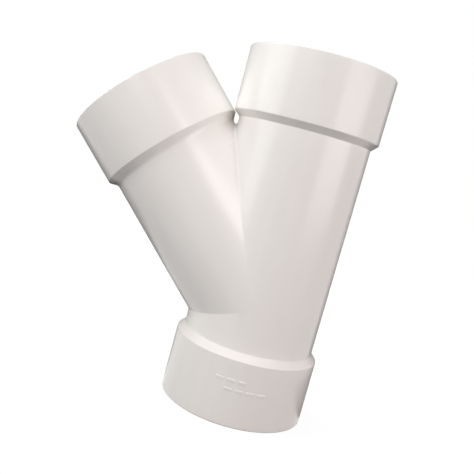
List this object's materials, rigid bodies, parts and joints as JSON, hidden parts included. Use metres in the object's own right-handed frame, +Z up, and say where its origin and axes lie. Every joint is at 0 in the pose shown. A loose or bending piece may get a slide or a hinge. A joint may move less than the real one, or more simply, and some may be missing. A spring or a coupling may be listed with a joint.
{
  "type": "pvc wye tee",
  "caption": "White moulded PVC wye tee: a straight run with an equal branch at 45 degrees, each end an open socket hub with a bevelled shoulder and an inner pipe stop.",
  "frame": {"origin": "centre of the lower hub's rim, in the plane that the fitting stands on", "axes": "+Z up along the run, the branch leans up towards -X in the plane y = 0, -Y is the side with the raised bars"},
  "size_m": [0.2538, 0.1265, 0.3021],
  "materials": {
    "white_pvc": "smooth satin gloss, as moulded"
  },
  "bodies": {
    "root": {"wye_fitting": "white_pvc"}
  },
  "joints": []
}
